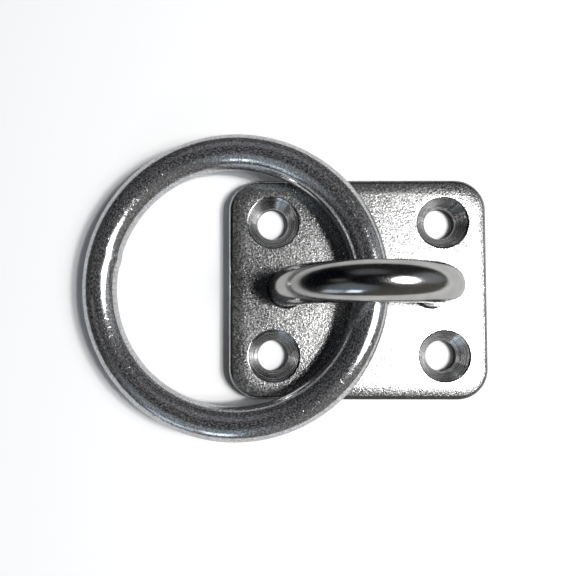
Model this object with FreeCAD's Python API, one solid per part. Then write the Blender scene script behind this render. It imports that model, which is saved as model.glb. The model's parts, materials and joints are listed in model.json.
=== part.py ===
import FreeCAD, Part
import math
import os

# Pad eye with a captive ring, in stainless steel.
# A flat plate takes four countersunk screws. A round bar, bent to a half circle, stands on the
# plate's long centre line, with both legs through the plate and welded from below. A butt-welded
# ring hangs in the eye and lies folded to the left, across the plate's edge.
# Millimetres. The origin is the middle of the plate's underside, +X along the plate's long side,
# +Z away from the deck.

# Base plate
plate_length = 44.3
plate_width = 37.8
plate_thickness = 3.0
plate_corner_radius = 5.25
plate_top_round = 0.6
plate_underside_chamfer = 0.2

# Four screw holes
screw_spacing_length = 29.0
screw_spacing_width = 22.9
screw_bore_diameter = 5.3
screw_sink_diameter = 8.8
screw_sink_angle = 90.0
screw_sink_rim_chamfer = 0.12

# Eye, bent from round bar
eye_bar_diameter = 6.2
eye_leg_spacing = 24.8
eye_leg_straight_above_plate = 3.4

# Where a leg goes through the plate
leg_hole_clearance = 0.06
leg_hole_mouth_chamfer = 0.3

# Weld under each leg, ground flush with the plate
weld_throat_width = 1.3
weld_depth = 1.4
leg_end_above_underside = 0.7

# Ring, bent from round bar and butt-welded
ring_bar_diameter = 5.9
ring_inside_diameter = 39.8
ring_middle_from_plate_middle = -21.6
ring_middle_sideways = 0.15
ring_clear_of_plate_edge = 0.15

# Sizes that follow from those above
eye_bar_radius = eye_bar_diameter / 2
eye_bend_radius = eye_leg_spacing / 2
eye_spring_height = plate_thickness + eye_leg_straight_above_plate
leg_hole_radius = eye_bar_radius + leg_hole_clearance
ring_bar_radius = ring_bar_diameter / 2
ring_radius = ring_inside_diameter / 2 + ring_bar_radius

UP = FreeCAD.Vector(0, 0, 1)
ACROSS = FreeCAD.Vector(0, 1, 0)


def edges_at_height(shape, height, keep):
    """The edges that lie wholly at one height and that keep() accepts."""
    found = []
    for edge in shape.Edges:
        box = edge.BoundBox
        if abs(box.ZMin - height) < 1e-4 and abs(box.ZMax - height) < 1e-4 and keep(edge):
            found.append(edge)
    return found


def circle_edges(shape, height, radius):
    """The round edges of one radius at one height."""
    def is_that_circle(edge):
        return isinstance(edge.Curve, Part.Circle) and abs(edge.Curve.Radius - radius) < 1e-4
    return edges_at_height(shape, height, is_that_circle)


def plate_blank():
    """The stamped plate: round corners, a rolled top edge and a chamfered lower edge."""
    corner = FreeCAD.Vector(-plate_length / 2, -plate_width / 2, 0)
    blank = Part.makeBox(plate_length, plate_width, plate_thickness, corner)
    uprights = [e for e in blank.Edges if e.BoundBox.ZLength > plate_thickness / 2]
    blank = blank.makeFillet(plate_corner_radius, uprights)
    top_outline = edges_at_height(blank, plate_thickness, lambda edge: True)
    blank = blank.makeFillet(plate_top_round, top_outline)
    lower_outline = edges_at_height(blank, 0, lambda edge: True)
    return blank.makeChamfer(plate_underside_chamfer, lower_outline)


def screw_positions():
    """The middles of the four screw holes."""
    for side_x in (-1, 1):
        for side_y in (-1, 1):
            yield side_x * screw_spacing_length / 2, side_y * screw_spacing_width / 2


def screw_hole(x, y):
    """The drilled bore with its countersink, as a solid of revolution to cut away."""
    bore = screw_bore_diameter / 2
    rim = screw_sink_diameter / 2
    sink_depth = (rim - bore) / math.tan(math.radians(screw_sink_angle / 2))
    beyond = plate_thickness
    points = [
        FreeCAD.Vector(0, 0, -beyond),
        FreeCAD.Vector(bore, 0, -beyond),
        FreeCAD.Vector(bore, 0, plate_thickness - sink_depth),
        FreeCAD.Vector(rim, 0, plate_thickness),
        FreeCAD.Vector(rim, 0, plate_thickness + beyond),
        FreeCAD.Vector(0, 0, plate_thickness + beyond),
    ]
    profile = Part.Face(Part.makePolygon(points + points[:1]))
    hole = profile.revolve(FreeCAD.Vector(), UP, 360)
    hole.translate(FreeCAD.Vector(x, y, 0))
    return hole


def leg_positions():
    """The two places on the centre line where a leg stands."""
    return (-eye_leg_spacing / 2, eye_leg_spacing / 2)


def weld_pocket(x):
    """The cone that is sunk from below round a leg, and filled with weld."""
    mouth = leg_hole_radius + weld_throat_width
    return Part.makeCone(mouth, leg_hole_radius, weld_depth, FreeCAD.Vector(x, 0, 0), UP)


def make_base_plate():
    plate = plate_blank()
    for x, y in screw_positions():
        plate = plate.cut(screw_hole(x, y))
    for x in leg_positions():
        through = FreeCAD.Vector(x, 0, -plate_thickness)
        plate = plate.cut(Part.makeCylinder(leg_hole_radius, 3 * plate_thickness, through, UP))
        plate = plate.cut(weld_pocket(x))
    rims = circle_edges(plate, plate_thickness, screw_sink_diameter / 2)
    plate = plate.makeChamfer(screw_sink_rim_chamfer, rims)
    mouths = circle_edges(plate, plate_thickness, leg_hole_radius)
    return plate.makeChamfer(leg_hole_mouth_chamfer, mouths)


def make_eye():
    """One bar, swept up a leg, round the bend and down the other leg."""
    half = eye_bend_radius
    foot_left = FreeCAD.Vector(-half, 0, leg_end_above_underside)
    foot_right = FreeCAD.Vector(half, 0, leg_end_above_underside)
    spring_left = FreeCAD.Vector(-half, 0, eye_spring_height)
    spring_right = FreeCAD.Vector(half, 0, eye_spring_height)
    crown = FreeCAD.Vector(0, 0, eye_spring_height + half)
    path = Part.Wire([
        Part.LineSegment(foot_left, spring_left).toShape(),
        Part.Arc(spring_left, crown, spring_right).toShape(),
        Part.LineSegment(spring_right, foot_right).toShape(),
    ])
    section = Part.Wire([Part.Circle(foot_left, UP, eye_bar_radius).toShape()])
    return path.makePipeShell([section], True, True)


def make_weld(x, eye):
    """The weld that fills one pocket, over and round the end of the leg."""
    return weld_pocket(x).cut(eye)


def ring_tilt():
    """The angle at which the ring lies: far end on the deck, bar over the plate's long edges."""
    reach_to_edge = plate_width / 2 + abs(ring_middle_sideways)
    beyond_middle = math.sqrt(ring_radius ** 2 - reach_to_edge ** 2)
    lift = plate_thickness + ring_clear_of_plate_edge
    return math.asin(lift / (ring_radius + beyond_middle))


def make_ring():
    """The bar, bent full circle, laid down as it rests when it is folded to the left."""
    section_middle = FreeCAD.Vector(ring_radius, 0, 0)
    section = Part.Wire([Part.Circle(section_middle, ACROSS, ring_bar_radius).toShape()])
    ring = Part.Face(section).revolve(FreeCAD.Vector(), UP, 360)
    tilt = ring_tilt()
    ring.rotate(FreeCAD.Vector(), ACROSS, -math.degrees(tilt))
    lift = ring_bar_radius + ring_radius * math.sin(tilt)
    ring.translate(FreeCAD.Vector(ring_middle_from_plate_middle, ring_middle_sideways, lift))
    return ring


def ring_pivot():
    """The middle of the ring's bar inside the eye, which the ring swings about."""
    tilt = ring_tilt()
    x = ring_middle_from_plate_middle + ring_radius * math.cos(tilt)
    z = ring_bar_radius + 2 * ring_radius * math.sin(tilt)
    return x, z


def main():
    os.makedirs("parts", exist_ok=True)
    eye = make_eye()
    left, right = leg_positions()
    pieces = {
        "base_plate": make_base_plate(),
        "eye": eye,
        "weld_left": make_weld(left, eye),
        "weld_right": make_weld(right, eye),
        "ring": make_ring(),
    }
    for name, shape in pieces.items():
        solid = shape.Solids[0]
        solid.exportStep(f"parts/{name}.step")
        print(f"{name}: {len(shape.Solids)} solid, {solid.Volume:.1f} mm3, valid {solid.isValid()}")
    x, z = ring_pivot()
    print(f"ring pivot x {x:.3f} z {z:.3f}, tilt {math.degrees(ring_tilt()):.3f} degrees")


main()
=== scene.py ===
import json
import math

import bmesh
import bpy
from mathutils import Matrix, Quaternion, Vector


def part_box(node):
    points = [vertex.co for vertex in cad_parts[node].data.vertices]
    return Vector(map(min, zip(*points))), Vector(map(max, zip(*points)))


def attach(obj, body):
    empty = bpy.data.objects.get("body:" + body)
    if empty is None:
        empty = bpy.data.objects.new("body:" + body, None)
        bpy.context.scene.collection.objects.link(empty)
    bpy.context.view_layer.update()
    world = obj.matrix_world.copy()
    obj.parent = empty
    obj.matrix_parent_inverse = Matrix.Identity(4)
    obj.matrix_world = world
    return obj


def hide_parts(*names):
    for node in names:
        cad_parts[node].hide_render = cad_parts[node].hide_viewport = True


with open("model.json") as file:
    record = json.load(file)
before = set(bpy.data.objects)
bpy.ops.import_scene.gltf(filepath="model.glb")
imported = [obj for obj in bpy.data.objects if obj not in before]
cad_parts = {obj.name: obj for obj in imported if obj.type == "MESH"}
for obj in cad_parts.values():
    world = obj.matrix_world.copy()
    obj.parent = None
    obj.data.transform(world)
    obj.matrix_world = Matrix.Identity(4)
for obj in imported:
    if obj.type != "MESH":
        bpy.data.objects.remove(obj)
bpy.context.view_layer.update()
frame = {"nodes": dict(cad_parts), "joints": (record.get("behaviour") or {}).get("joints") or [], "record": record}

# Base plate.
# Stamped from stainless sheet, which rolls its top edge over, and tumbled with stones to a fine
# pebbled grain. The screw holes are drilled and countersunk, and two more holes take the eye.
mm = 0.001
plate_low, plate_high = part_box("base_plate")
plate_half_length = (plate_high.x - plate_low.x) / 2
plate_half_width = (plate_high.y - plate_low.y) / 2
plate_thickness = plate_high.z - plate_low.z
plate_corner_radius = 5.25 * mm
plate_top_round = 0.9 * mm
plate_lower_round = 0.2 * mm
roll_over_width = 2.1 * mm
roll_over_drop = 0.28 * mm
roll_over_saved_left = 0.17 * mm
# The side is painted near black up round the rolled corner as far as these angles, as a painted dark reflection:
# less far on the left side than on the others.
dark_side_angle_left = math.radians(20)
dark_side_angle_elsewhere = math.radians(52)
deck_screws = next(m for m in frame["record"]["mounts"] if m["name"] == "deck_screws")["dims"]
screw_bore_radius = deck_screws["hole_r_mm"] * mm
screw_sink_radius = 4.4 * mm
screw_sink_slope = math.radians(45)
screw_sink_depth = (screw_sink_radius - screw_bore_radius) / math.tan(screw_sink_slope)
screw_rim_round = 0.35 * mm
screw_bore_lip = 0.05 * mm
eye_low, eye_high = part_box("eye")
eye_bar_radius = (eye_high.y - eye_low.y) / 2
leg_spacing = eye_high.x - eye_low.x - 2 * eye_bar_radius
leg_hole_radius = eye_bar_radius + 0.06 * mm
leg_hole_mouth = 0.3 * mm
weld_low, weld_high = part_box("weld_left")
weld_mouth_radius = (weld_high.y - weld_low.y) / 2
weld_depth = weld_high.z - weld_low.z
TUMBLED, TURNED, ROLLED, TORN_PAINTED_DARK = range(4)  # the plate's finishes, in their order on the plate


def rounded_outline(inset, height, corner_steps=28, straight_steps=12):
    """Points round the plate's outline, moved in by the inset, at one height."""
    radius = plate_corner_radius - inset
    middle_x = plate_half_length - plate_corner_radius
    middle_y = plate_half_width - plate_corner_radius
    corners = [(1, 1, 0), (-1, 1, 90), (-1, -1, 180), (1, -1, 270)]
    points = []
    for side_x, side_y, start in corners:
        for step in range(corner_steps + 1):
            angle = math.radians(start + 90 * step / corner_steps)
            x = side_x * middle_x + radius * math.cos(angle)
            y = side_y * middle_y + radius * math.sin(angle)
            points.append(Vector((x, y, height)))
    corner_step = radius * math.pi / 2 / corner_steps
    filled = []
    for here, after in zip(points, points[1:] + points[:1]):
        filled.append(here)
        on_straight = (after - here).length > 4 * corner_step
        if on_straight:
            for step in range(1, straight_steps):
                filled.append(here.lerp(after, step / straight_steps))
    return filled


def round_hole(middle, radius, height, steps=128):
    """Points round a hole, anticlockwise from above."""
    points = []
    for step in range(steps):
        angle = 2 * math.pi * step / steps
        x = middle[0] + radius * math.cos(angle)
        y = middle[1] + radius * math.sin(angle)
        points.append(Vector((x, y, height)))
    return points


def add_loop(mesh, points):
    return [mesh.verts.new(p) for p in points]


def join_loops(mesh, first, second, slot=TUMBLED, down=0.0):
    """One band of four-sided faces between two closed loops with as many points.

    The UVs run down the band first and then round it, so that turned metal has a grain direction.
    """
    uv = mesh.loops.layers.uv.verify()
    count = len(first)
    for i in range(count):
        j = (i + 1) % count
        face = mesh.faces.new([first[i], first[j], second[j], second[i]])
        face.material_index = slot
        depth = (second[i].co - first[i].co).length
        marks = ((down, i), (down, i + 1), (down + depth, i + 1), (down + depth, i))
        for loop, (along, turn) in zip(face.loops, marks):
            loop[uv].uv = (along / mm, turn / count)


def fill_flat(mesh, loops, up):
    """A flat face inside the first loop, open at the others, that looks up (1) or down (-1)."""
    edges = []
    for verts in loops:
        for i, vert in enumerate(verts):
            edges.append(mesh.edges.get((vert, verts[(i + 1) % len(verts)])))
    made = bmesh.ops.triangle_fill(mesh, use_beauty=True, edges=edges, normal=(0, 0, 1))
    faces = [g for g in made["geom"] if isinstance(g, bmesh.types.BMFace)]
    for face in faces:
        face.normal_update()
        if face.normal.z * up < 0:
            face.normal_flip()


def quarter_round(start_height, radius, steps, top):
    """Inset and height of each step of a rounded edge, from the side face to the flat face."""
    sign = 1 if top else -1
    for step in range(steps + 1):
        angle = math.radians(90 * step / steps)
        inset = radius * (1 - math.cos(angle))
        height = start_height + sign * radius * math.sin(angle)
        yield inset, height


def stamped_edge(round_steps=18, roll_steps=8):
    """Inset and height of the top edge: the rolled corner, then a gentle fall from the flat."""
    slope = math.atan(2 * roll_over_drop / roll_over_width)
    last = math.pi / 2 - slope
    start = plate_thickness - roll_over_drop - plate_top_round * math.sin(last)
    for step in range(round_steps + 1):
        angle = last * step / round_steps
        inset = plate_top_round * (1 - math.cos(angle))
        yield inset, start + plate_top_round * math.sin(angle)
    for step in range(1, roll_steps + 1):
        share = step / roll_steps
        yield inset + roll_over_width * share, plate_thickness - roll_over_drop * (1 - share) ** 2


def away_from_left_side(x):
    """How far a point is from the left side: 0 at the left side, rising to 1 one corner radius in, and 1 on the
    other sides.
    """
    return min(1, (x + plate_half_length) / plate_corner_radius)


def dark_side_height(x):
    """Height up to which the side is painted near black, as a painted dark reflection, before the edge is lifted:
    lower on the left side than on the others.
    """
    angle = dark_side_angle_left + (dark_side_angle_elsewhere - dark_side_angle_left) * away_from_left_side(x)
    return plate_thickness - roll_over_drop - plate_top_round * (1 - math.sin(angle))


def lift_edge(loops):
    """Takes back most of the roll-over on the left side."""
    for vert in (v for loop in loops for v in loop):
        below_top = plate_thickness - vert.co.z
        lift = roll_over_saved_left * (1 - away_from_left_side(vert.co.x))
        if below_top < roll_over_drop:
            lift *= below_top / roll_over_drop
        if below_top < plate_thickness / 2:
            vert.co.z += lift


def screw_middles():
    for side_x in (-1, 1):
        for side_y in (-1, 1):
            x = side_x * deck_screws["spacing_x_mm"] * mm / 2
            y = side_y * deck_screws["spacing_y_mm"] * mm / 2
            yield x, y


def hole_profile_screw(rim_steps=5, cone_steps=12):
    """Radius and height down a screw hole: rounded rim, cone, bore and a broken lower edge."""
    top = plate_thickness
    reach = screw_rim_round * math.tan(screw_sink_slope / 2)
    for step in range(rim_steps + 1):
        turn = screw_sink_slope * step / rim_steps
        centre_radius = screw_sink_radius + reach
        radius = centre_radius - screw_rim_round * math.sin(turn)
        yield radius, top - screw_rim_round * (1 - math.cos(turn))
    narrowing = screw_sink_radius - screw_bore_radius
    for step in range(1, cone_steps):
        share = step / cone_steps
        yield screw_sink_radius - narrowing * share, top - screw_sink_depth * share
    softened = 0.3 * screw_bore_lip
    yield screw_bore_radius + softened, top - screw_sink_depth + softened
    yield screw_bore_radius, top - screw_sink_depth - screw_bore_lip
    yield screw_bore_radius, plate_lower_round / 2
    yield screw_bore_radius + plate_lower_round / 2, 0


def hole_profile_leg():
    """Radius and height down a leg hole: a softly broken mouth, the bore and the weld pocket."""
    start = plate_thickness - leg_hole_mouth
    mouth = list(quarter_round(start, leg_hole_mouth, 6, True))
    for inset, height in reversed(mouth):
        yield leg_hole_radius + inset, height
    yield leg_hole_radius, weld_depth
    yield weld_mouth_radius, 0


def add_sides(mesh):
    """The plate's side and its rolled top edge, from the underside up."""
    sides = []
    for inset, height in quarter_round(plate_lower_round, plate_lower_round, 4, False):
        sides.insert(0, add_loop(mesh, rounded_outline(inset, height)))
    for inset, height in stamped_edge():
        sides.append(add_loop(mesh, rounded_outline(inset, height)))
    for below, above in zip(sides, sides[1:]):
        join_loops(mesh, below, above)
    for face in mesh.faces:
        middle = face.calc_center_median()
        # The faces below the dark side height are painted near black, a painted dark reflection along the edges.
        if middle.z < plate_thickness - roll_over_drop:
            face.material_index = TORN_PAINTED_DARK if middle.z < dark_side_height(middle.x) else ROLLED
    lift_edge(sides)
    return sides


def screw_hole_finish(above, below):
    """The rim is worn like the rolled edge, the cone is turned, and the bore is rough and painted near black as
    painted shade.
    """
    if above[0].co.z < plate_thickness - screw_sink_depth:
        return TORN_PAINTED_DARK
    if below[0].co.z > plate_thickness - screw_rim_round / 2:
        return ROLLED
    return TURNED


def make_plate():
    mesh = bmesh.new()
    mesh.loops.layers.uv.new("turning")
    sides = add_sides(mesh)
    top_loops = [sides[-1]]
    lower_loops = [sides[0]]
    for middle in screw_middles():
        rings = [add_loop(mesh, round_hole(middle, r, z)) for r, z in hole_profile_screw()]
        down = 0.0
        for above, below in zip(rings, rings[1:]):
            join_loops(mesh, above, below, slot=screw_hole_finish(above, below), down=down)
            down += (below[0].co - above[0].co).length
        top_loops.append(rings[0])
        lower_loops.append(rings[-1])
    for side in (-1, 1):
        middle = (side * leg_spacing / 2, 0)
        rings = [add_loop(mesh, round_hole(middle, r, z)) for r, z in hole_profile_leg()]
        for above, below in zip(rings, rings[1:]):
            join_loops(mesh, above, below)
        top_loops.append(rings[0])
        lower_loops.append(rings[-1])
    fill_flat(mesh, top_loops, 1)
    fill_flat(mesh, lower_loops, -1)
    bmesh.ops.recalc_face_normals(mesh, faces=mesh.faces)
    return finish_mesh(mesh, "plate_body")


def finish_mesh(mesh, name, sharp=38):
    """Turns the drawn mesh into an object, smooth but for its sharp edges."""
    data = bpy.data.meshes.new(name)
    mesh.to_mesh(data)
    mesh.free()
    data.shade_smooth()
    data.set_sharp_from_angle(angle=math.radians(sharp))
    made = bpy.data.objects.new(name, data)
    bpy.context.scene.collection.objects.link(made)
    even = made.modifiers.new("even_shading", "WEIGHTED_NORMAL")
    even.keep_sharp = True
    even.weight = 90
    return made


class Finish:
    """A metal finish under construction: adds and joins shader nodes."""

    def __init__(self, name):
        self.material = bpy.data.materials.new(name)
        self.material.use_nodes = True
        self.tree = self.material.node_tree
        self.shader = self.tree.nodes["Principled BSDF"]
        self.shader.inputs["Metallic"].default_value = 1
        self.shader.inputs["Specular Tint"].default_value = (0.75, 0.75, 0.75, 1)
        self.place = self.add("ShaderNodeTexCoord").outputs["Object"]

    def add(self, kind, **settings):
        node = self.tree.nodes.new(kind)
        for key, value in settings.items():
            setattr(node, key, value)
        return node

    def join(self, source, target):
        self.tree.links.new(source, target)

    def noise(self, size, detail=2, roughness=0.5, place=None):
        """Noise whose features are about the given size, in metres."""
        node = self.add("ShaderNodeTexNoise")
        node.inputs["Scale"].default_value = 1 / size
        node.inputs["Detail"].default_value = detail
        node.inputs["Roughness"].default_value = roughness
        self.join(place or self.place, node.inputs["Vector"])
        return node.outputs["Fac"]

    def stretch(self, factors, place=None):
        node = self.add("ShaderNodeMapping")
        node.inputs["Scale"].default_value = factors
        self.join(place or self.place, node.inputs["Vector"])
        return node.outputs["Vector"]

    def between(self, source, low, high, to_low=0.0, to_high=1.0):
        """Maps a stretch of the source's values to another, and clamps it."""
        node = self.add("ShaderNodeMapRange")
        node.interpolation_type = "SMOOTHSTEP"
        node.inputs["From Min"].default_value = low
        node.inputs["From Max"].default_value = high
        node.inputs["To Min"].default_value = to_low
        node.inputs["To Max"].default_value = to_high
        self.join(source, node.inputs["Value"])
        return node.outputs["Result"]

    def sum(self, first, second, share=1.0):
        node = self.add("ShaderNodeMath", operation="MULTIPLY_ADD")
        self.join(second, node.inputs[0])
        node.inputs[1].default_value = share
        self.join(first, node.inputs[2])
        return node.outputs["Value"]

    def colour(self, source, dark, light):
        node = self.add("ShaderNodeMix", data_type="RGBA")
        node.inputs["A"].default_value = (*dark, 1)
        node.inputs["B"].default_value = (*light, 1)
        self.join(source, node.inputs["Factor"])
        self.join(node.outputs["Result"], self.shader.inputs["Base Color"])

    def roughness(self, source):
        self.join(source, self.shader.inputs["Roughness"])

    def bare(self, source):
        """The share of bare metal; the rest is the thin grey film that tumbling leaves."""
        self.join(source, self.shader.inputs["Metallic"])

    def grooved(self, uv_map, strength):
        """Spreads the gloss across fine grooves, along the first direction of the UV map."""
        along = self.add("ShaderNodeTangent", direction_type="UV_MAP", uv_map=uv_map)
        self.join(along.outputs["Tangent"], self.shader.inputs["Tangent"])
        self.shader.inputs["Anisotropic"].default_value = strength

    def relief(self, source, depth, below=None):
        """Bump of the given depth in metres, laid over an earlier one."""
        node = self.add("ShaderNodeBump")
        node.inputs["Strength"].default_value = 1
        node.inputs["Distance"].default_value = depth
        self.join(source, node.inputs["Height"])
        if below:
            self.join(below, node.inputs["Normal"])
        return node.outputs["Normal"]

    def wear(self, normal):
        """Puts the relief on the metal and gives the finished material."""
        self.join(normal, self.shader.inputs["Normal"])
        return self.material


def tumbled_steel():
    """Pebbled grain, polished on its high spots and matt in its hollows, with fine pits; its light and dark tone
    is partly the grain's own and partly painted glints.
    """
    steel = Finish("tumbled_steel")
    grain = steel.noise(0.26 * mm, detail=2, roughness=0.6)
    cloud = steel.noise(6 * mm, detail=3)
    pits = steel.between(steel.noise(0.55 * mm, detail=2), 0.62, 0.72)
    # The grain's light and dark tone is partly the grain's own and partly painted glints.
    steel.colour(steel.between(grain, 0.36, 0.64), (0.27, 0.27, 0.268), (0.62, 0.62, 0.61))
    spots = steel.noise(0.30 * mm, detail=1, place=steel.stretch((1, 1, 1.3)))
    polish = steel.between(spots, 0.36, 0.64, 0.17, 0.31)
    polish = steel.sum(polish, steel.between(cloud, 0.3, 0.7), 0.04)
    steel.roughness(steel.sum(polish, pits, 0.1))
    steel.bare(steel.between(grain, 0.36, 0.64, 0.91, 0.99))
    pebbles = steel.relief(grain, 0.048 * mm)
    return steel.wear(steel.relief(pits, -0.010 * mm, pebbles))


def turned_steel():
    """The cones: bright, with the cutter's rings running round them."""
    steel = Finish("turned_steel")
    across = steel.noise(0.13 * mm, detail=1, place=steel.stretch((0.01, 0.01, 1)))
    patch = steel.noise(1.5 * mm, detail=2)
    steel.colour(steel.between(across, 0.35, 0.65), (0.32, 0.32, 0.32), (0.56, 0.56, 0.56))
    steel.roughness(steel.between(patch, 0.3, 0.7, 0.20, 0.25))
    steel.grooved("turning", 1.0)
    return steel.wear(steel.relief(across, 0.08 * mm))


def rolled_steel():
    """The rolled edge, which the stones reach best: worn smooth and brighter than the flat."""
    steel = Finish("rolled_steel")
    grain = steel.noise(0.30 * mm, detail=2)
    steel.colour(steel.between(grain, 0.35, 0.65), (0.36, 0.36, 0.355), (0.54, 0.54, 0.53))
    steel.roughness(steel.between(grain, 0.35, 0.65, 0.10, 0.16))
    return steel.wear(steel.relief(grain, 0.008 * mm))


def sheared_steel_painted_dark():
    """The side torn by the die, and the drilled bores: rough, with upright drag lines, and painted near black,
    which is painted shade in the bores and painted dark reflection along the plate's edges.
    """
    steel = Finish("sheared_steel_painted_dark")
    drags = steel.noise(0.22 * mm, detail=3, roughness=0.6, place=steel.stretch((1, 1, 0.12)))
    # Painted shade in the bores and painted dark reflection along the edges: the colour is near black.
    steel.colour(steel.between(drags, 0.35, 0.65), (0.03, 0.03, 0.03), (0.08, 0.08, 0.078))
    steel.roughness(steel.between(drags, 0.35, 0.65, 0.36, 0.52))
    return steel.wear(steel.relief(drags, 0.03 * mm))


plate = make_plate()
plate.data.materials.append(tumbled_steel())
plate.data.materials.append(turned_steel())
plate.data.materials.append(rolled_steel())
plate.data.materials.append(sheared_steel_painted_dark())
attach(plate, "pad_eye")
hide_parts("base_plate")


# Eye.
# One length of round bar, bent to a half circle between two straight legs and polished bright.
# The legs go down through the plate, where they are welded from below.
eye_bend_radius = leg_spacing / 2
eye_spring_height = eye_high.z - eye_bar_radius - eye_bend_radius


def sweep_bar(name, stations, radius, steps_round, closed):
    """A round bar along stations of (middle, outward, sideways), with its length in the UVs."""
    mesh = bmesh.new()
    uv = mesh.loops.layers.uv.new("bar")
    rings = []
    lengths = [0.0]
    for here, after in zip(stations, stations[1:]):
        lengths.append(lengths[-1] + (after[0] - here[0]).length)
    for middle, outward, sideways in stations:
        ring = []
        for step in range(steps_round):
            angle = 2 * math.pi * step / steps_round
            direction = outward * math.cos(angle) + sideways * math.sin(angle)
            ring.append(mesh.verts.new(middle + direction * radius))
        rings.append(ring)
    around = 2 * math.pi * radius
    count = len(rings)
    for i in range(count if closed else count - 1):
        j = (i + 1) % count
        start = lengths[i]
        end = lengths[j] if j else lengths[-1] + (stations[0][0] - stations[-1][0]).length
        for k in range(steps_round):
            m = (k + 1) % steps_round
            face = mesh.faces.new((rings[i][k], rings[j][k], rings[j][m], rings[i][m]))
            marks = ((start, k), (end, k), (end, k + 1), (start, k + 1))
            for loop, (along, turn) in zip(face.loops, marks):
                loop[uv].uv = (along, around * turn / steps_round)
    if not closed:
        mesh.faces.new(rings[0])
        mesh.faces.new(rings[-1][::-1])
    bmesh.ops.recalc_face_normals(mesh, faces=mesh.faces)
    return finish_mesh(mesh, name, sharp=60)


def eye_stations(straight_steps=10, bend_steps=160):
    """The eye's bar, up the left leg, round the bend and down the right leg."""
    across = Vector((0, 1, 0))
    foot = eye_low.z
    for step in range(straight_steps):
        z = foot + (eye_spring_height - foot) * step / straight_steps
        yield Vector((-eye_bend_radius, 0, z)), Vector((-1, 0, 0)), across
    for step in range(bend_steps + 1):
        angle = math.pi * (1 - step / bend_steps)
        outward = Vector((math.cos(angle), 0, math.sin(angle)))
        yield Vector((0, 0, eye_spring_height)) + outward * eye_bend_radius, outward, across
    for step in range(1, straight_steps + 1):
        z = eye_spring_height + (foot - eye_spring_height) * step / straight_steps
        yield Vector((eye_bend_radius, 0, z)), Vector((1, 0, 0)), across


def polished_steel():
    """Near mirror, with faint waves left by the polishing wheel and hairline scratches."""
    steel = Finish("polished_steel")
    waves = steel.noise(2.2 * mm, detail=1)
    fine = steel.noise(0.25 * mm, detail=2)
    steel.colour(steel.between(waves, 0.3, 0.7), (0.35, 0.345, 0.335), (0.40, 0.395, 0.385))
    steel.roughness(steel.between(fine, 0.35, 0.65, 0.14, 0.19))
    bend = steel.relief(waves, 0.010 * mm)
    return steel.wear(steel.relief(fine, 0.0002 * mm, bend))


eye = sweep_bar("eye_bar", list(eye_stations()), eye_bar_radius, 96, closed=False)
eye.data.materials.append(polished_steel())
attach(eye, "pad_eye")
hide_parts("eye")


# Welds.
# Weld metal that fills the pocket round the end of each leg, ground flush with the underside.
# The grinding leaves fine lines one way, and the heat a faint straw tint.
def ground_weld():
    steel = Finish("ground_weld")
    lines = steel.noise(0.12 * mm, detail=3, place=steel.stretch((0.05, 1, 1)))
    tint = steel.noise(2.5 * mm, detail=2)
    steel.colour(steel.between(tint, 0.3, 0.7), (0.44, 0.40, 0.34), (0.50, 0.49, 0.47))
    steel.roughness(steel.between(lines, 0.3, 0.7, 0.24, 0.44))
    return steel.wear(steel.relief(lines, 0.012 * mm))


weld_finish = ground_weld()
for weld_name in ("weld_left", "weld_right"):
    weld = frame["nodes"][weld_name]
    weld.data.materials.clear()
    weld.data.materials.append(weld_finish)


# Ring.
# Round bar bent full circle and butt-welded, then tumbled: duller than the eye, with small pits.
# The weld was dressed, and stands slightly proud on the inside of the ring.
ring_low, ring_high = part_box("ring")
swing = next(j for j in frame["joints"] if j["name"] == "ring_swing")
ring_hinge = Vector(swing["pos_m"])
ring_bar_radius = 2.951 * mm
ring_radius = (ring_high.y - ring_low.y) / 2 - ring_bar_radius
ring_tilt = math.asin((ring_hinge.z - ring_bar_radius) / (2 * ring_radius))
ring_weld_angle = math.radians(166.5)
ring_weld_half_length = 1.1 * mm
ring_weld_proud = 0.22 * mm
ring_weld_swell_reach = 4 * ring_weld_half_length
# Of each pit: its turn round the ring and its lean from the top in degrees, and its reach.
ring_weld_pits = [
    (176.2, 60, 0.40 * mm),
    (176.4, 11, 0.42 * mm),
    (178.2, 11, 0.40 * mm),
    (180.8, 10, 0.42 * mm),
    (182.4, 10, 0.40 * mm),
]
ring_weld_pit_depth = 0.08 * mm


def ring_stations(steps=480):
    """The ring's bar, from its right-hand side round to the left and back."""
    lean = Matrix.Rotation(-ring_tilt, 3, "Y")
    middle = ring_hinge - lean @ Vector((ring_radius, 0, 0))
    for step in range(steps):
        angle = 2 * math.pi * step / steps
        outward = lean @ Vector((math.cos(angle), math.sin(angle), 0))
        yield middle + outward * ring_radius, outward, lean @ Vector((0, 0, 1))


def station_at(stations, angle):
    """The station at a turn round the ring from its right-hand side."""
    return stations[round(angle / (2 * math.pi) * len(stations)) % len(stations)]


def ring_point(turn, lean):
    """A point on the bar, by its turn round the ring and its lean from the top, outward."""
    middle, outward, upward = station_at(list(ring_stations()), turn)
    return middle + (outward * math.sin(lean) + upward * math.cos(lean)) * ring_bar_radius


def make_ring():
    stations = list(ring_stations())
    ring = sweep_bar("ring_bar", stations, ring_bar_radius, 72, closed=True)
    weld_middle, weld_outward, weld_up = station_at(stations, ring_weld_angle)
    along = weld_outward.cross(weld_up)
    for vert in ring.data.vertices:
        from_weld = (vert.co - weld_middle).dot(along)
        across_the_ring = (vert.co - weld_middle).length > 3 * ring_bar_radius
        if abs(from_weld) > ring_weld_swell_reach or across_the_ring:
            continue
        swell = math.exp(-(from_weld / ring_weld_half_length) ** 2)
        inward = max(0, -(vert.co - weld_middle).dot(weld_outward) / ring_bar_radius)
        vert.co -= weld_outward * ring_weld_proud * swell * inward ** 0.5
    return ring


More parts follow.
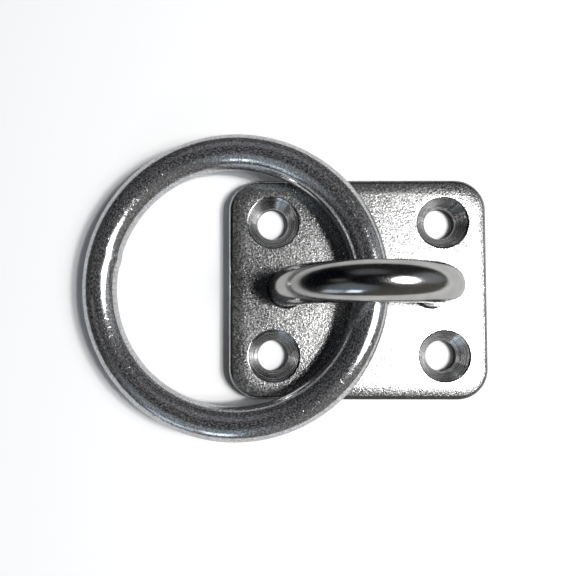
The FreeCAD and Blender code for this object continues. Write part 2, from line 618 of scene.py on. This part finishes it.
def pit_mark(steel, point, reach):
    """One at the point, and nothing beyond the reach."""
    node = steel.add("ShaderNodeVectorMath", operation="DISTANCE")
    steel.join(steel.place, node.inputs[0])
    node.inputs[1].default_value = point
    return steel.between(node.outputs["Value"], 0, reach, 1, 0)


def paint_shade_over(steel, source, colour):
    """Paints shade: lays another colour over the first, as far as the source says."""
    before = steel.shader.inputs["Base Color"].links[0].from_socket
    steel.colour(source, (0, 0, 0), colour)
    node = steel.shader.inputs["Base Color"].links[0].from_node
    steel.join(before, node.inputs["A"])


def worn_steel():
    """Tumbled bar: polished high spots, matt hollows, fine pits and grain drawn along the bar, and the pits by the
    weld painted near black as shade.
    """
    steel = Finish("worn_steel")
    bar = steel.add("ShaderNodeUVMap", uv_map="bar").outputs["UV"]
    drawn = steel.noise(0.20 * mm, detail=3, roughness=0.6, place=steel.stretch((0.45, 1, 1), bar))
    grain = steel.noise(0.23 * mm, detail=2, roughness=0.6)
    spots = steel.noise(0.28 * mm, detail=1, place=steel.stretch((1, 1.3, 1)))
    cloud = steel.noise(4 * mm, detail=3)
    pits = steel.between(steel.noise(0.5 * mm, detail=2), 0.62, 0.72)
    weld_pits = None
    for turn, lean, reach in ring_weld_pits:
        pit = pit_mark(steel, ring_point(math.radians(turn), math.radians(lean)), reach)
        weld_pits = steel.sum(weld_pits, pit) if weld_pits else pit
    steel.colour(steel.between(grain, 0.38, 0.62), (0.29, 0.29, 0.295), (0.68, 0.68, 0.69))
    # Painted shade: the pits by the weld are coloured near black.
    paint_shade_over(steel, weld_pits, (0.01, 0.01, 0.01))
    polish = steel.between(spots, 0.36, 0.64, 0.10, 0.19)
    polish = steel.sum(polish, steel.between(cloud, 0.3, 0.7), 0.03)
    polish = steel.sum(polish, pits, 0.1)
    steel.roughness(steel.sum(polish, weld_pits, 0.4))
    steel.bare(steel.between(drawn, 0.36, 0.62, 0.73, 0.99))
    lines = steel.relief(drawn, 0.004 * mm)
    pebbles = steel.relief(grain, 0.004 * mm, lines)
    waves = steel.relief(steel.noise(1.6 * mm, detail=1), 0.012 * mm, pebbles)
    dented = steel.relief(weld_pits, -ring_weld_pit_depth, waves)
    return steel.wear(steel.relief(pits, -0.010 * mm, dented))


ring = make_ring()
ring.data.materials.append(worn_steel())
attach(ring, "swing_ring")
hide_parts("ring")


# Table, lamps and camera.
# A plain white table in a dim room, under a broad white lampshade with three bulbs, high on the
# right, and two cool windows low at the front. The camera looks down from close above.
table_size = 6.0
table_gap = 0.02 * mm
table_white = 0.80
table_white_seen = 1.14
lamp_distance = 0.6
bulb_distance = 0.58
window_light = (0.84, 1.0, 1.17)
camera_place = (-21.7 * mm, -7.4 * mm, 97.0 * mm)
camera_tilt = (math.radians(2.1), math.radians(0.6), 0)
camera_lens = 34.37
camera_shift = (0.108, 0.042)


def make_table():
    mesh = bmesh.new()
    half = table_size / 2
    corners = [(-half, -half), (half, -half), (half, half), (-half, half)]
    mesh.faces.new([mesh.verts.new((x, y, -table_gap)) for x, y in corners])
    data = bpy.data.meshes.new("table")
    mesh.to_mesh(data)
    mesh.free()
    table = bpy.data.objects.new("table", data)
    bpy.context.scene.collection.objects.link(table)
    data.materials.append(white_paper())


def white_paper():
    """Matt white, seen as full white by the camera and in the metal, and plain in its own light."""
    paper = bpy.data.materials.new("white_paper")
    paper.use_nodes = True
    nodes, links = paper.node_tree.nodes, paper.node_tree.links
    shader = nodes["Principled BSDF"]
    shader.inputs["Roughness"].default_value = 0.9
    shader.inputs["Specular IOR Level"].default_value = 0.0
    ray = nodes.new("ShaderNodeLightPath")
    seen = ray.outputs["Is Camera Ray"]
    for kind in ("Is Glossy Ray", "Is Transmission Ray"):
        either = nodes.new("ShaderNodeMath")
        either.operation = "MAXIMUM"
        links.new(seen, either.inputs[0])
        links.new(ray.outputs[kind], either.inputs[1])
        seen = either.outputs["Value"]
    shade = nodes.new("ShaderNodeMix")
    shade.data_type = "RGBA"
    shade.inputs["A"].default_value = (table_white, table_white, table_white, 1)
    shade.inputs["B"].default_value = (table_white_seen, table_white_seen, table_white_seen, 1)
    links.new(seen, shade.inputs["Factor"])
    links.new(shade.outputs["Result"], shader.inputs["Base Color"])
    return paper


def direction(azimuth, elevation):
    """Toward an azimuth, from 0 at the picture's right to 90 at its top, and an elevation."""
    a, e = math.radians(azimuth), math.radians(elevation)
    return Vector((math.cos(a) * math.cos(e), math.sin(a) * math.cos(e), math.sin(e)))


def place_lamp(lamp, toward, turn, away):
    held = bpy.data.objects.new(lamp.name, lamp)
    held.location = toward * away
    held.rotation_mode = "QUATERNION"
    held.rotation_quaternion = turn
    bpy.context.scene.collection.objects.link(held)


def round_lamp(name, azimuth, elevation, spread, radiance, away=bulb_distance):
    """A round lamp, by the half angle that it fills as seen from the part."""
    lamp = bpy.data.lights.new(name, "AREA")
    lamp.shape = "DISK"
    lamp.size = 2 * away * math.tan(math.radians(spread))
    lamp.energy = radiance * math.pi * (math.pi / 4 * lamp.size ** 2)
    toward = direction(azimuth, elevation)
    place_lamp(lamp, toward, toward.to_track_quat("Z", "Y"), away)


def window_lamp(name, azimuth, elevation, width, height, roll, radiance, away=lamp_distance):
    """A window, by the half angles that it fills and its roll as seen from the part."""
    lamp = bpy.data.lights.new(name, "AREA")
    lamp.shape = "RECTANGLE"
    lamp.size = 2 * away * math.tan(math.radians(width))
    lamp.size_y = 2 * away * math.tan(math.radians(height))
    lamp.energy = radiance * math.pi * (lamp.size * lamp.size_y)
    lamp.color = window_light
    toward = direction(azimuth, elevation)
    turn = toward.to_track_quat("Z", "Y") @ Quaternion((0, 0, 1), math.radians(roll))
    place_lamp(lamp, toward, turn, away)


class Room:
    """The room's dim light, brighter or darker by direction."""

    def __init__(self, grey):
        world = bpy.data.worlds.new("room")
        bpy.context.scene.world = world
        world.use_nodes = True
        self.tree = world.node_tree
        self.background = self.tree.nodes["Background"]
        self.background.inputs["Strength"].default_value = 1
        self.where = self.tree.nodes.new("ShaderNodeTexCoord").outputs["Generated"]
        start = self.tree.nodes.new("ShaderNodeRGB")
        start.outputs["Color"].default_value = (*grey, 1)
        self.last = start.outputs["Color"]

    def patch(self, azimuth, elevation, inner, outer, colour):
        """Fades to the colour from the outer angle to the inner one, round a direction."""
        nodes, links = self.tree.nodes, self.tree.links
        dot = nodes.new("ShaderNodeVectorMath")
        dot.operation = "DOT_PRODUCT"
        links.new(self.where, dot.inputs[0])
        dot.inputs[1].default_value = direction(azimuth, elevation)
        fade = nodes.new("ShaderNodeMapRange")
        fade.interpolation_type = "SMOOTHSTEP"
        fade.inputs["From Min"].default_value = math.cos(math.radians(outer))
        fade.inputs["From Max"].default_value = math.cos(math.radians(inner))
        links.new(dot.outputs["Value"], fade.inputs["Value"])
        mix = nodes.new("ShaderNodeMix")
        mix.data_type = "RGBA"
        links.new(self.last, mix.inputs["A"])
        mix.inputs["B"].default_value = (*colour, 1)
        links.new(fade.outputs["Result"], mix.inputs["Factor"])
        self.last = mix.outputs["Result"]
        links.new(self.last, self.background.inputs["Color"])


def make_camera():
    """Straight down from close above, a little left of and below the middle of the plate."""
    camera_data = bpy.data.cameras.new("camera")
    camera_data.sensor_width = 36
    camera_data.lens = camera_lens
    camera_data.shift_x, camera_data.shift_y = camera_shift
    camera_data.clip_start = 0.005
    camera_data.clip_end = 20
    camera = bpy.data.objects.new("camera", camera_data)
    camera.location = camera_place
    camera.rotation_euler = camera_tilt
    bpy.context.scene.collection.objects.link(camera)
    bpy.context.scene.camera = camera


make_table()
round_lamp("shade", -6, 56.5, spread=15.5, radiance=6.4, away=lamp_distance)
round_lamp("high_bulb", -8, 66.0, spread=1.6, radiance=215.0)
round_lamp("near_bulb", -5, 56.5, spread=4.0, radiance=70.0)
round_lamp("far_bulb", -25, 55, spread=1.8, radiance=40.0)
window_lamp("near_window", -105, 25, width=6.0, height=7, roll=10, radiance=2.6)
window_lamp("far_window", -124, 16, width=9, height=8, roll=22, radiance=0.9)
room = Room((0.03, 0.03, 0.03))
room.patch(-50, 8, inner=20, outer=60, colour=(0.15, 0.14, 0.13))
room.patch(10, 24, inner=8, outer=28, colour=(0.33, 0.35, 0.37))
room.patch(-120, 40, inner=10, outer=34, colour=(0.26, 0.29, 0.32))
room.patch(158, 12, inner=36, outer=54, colour=(0.003, 0.004, 0.007))
room.patch(95, 50, inner=6, outer=24, colour=(0.16, 0.16, 0.18))
room.patch(180, 49, inner=3, outer=12, colour=(0.15, 0.14, 0.13))
room.patch(0, 90, inner=20, outer=34, colour=(0.003, 0.003, 0.006))
make_camera()

bpy.context.scene.view_settings.view_transform = "Standard"
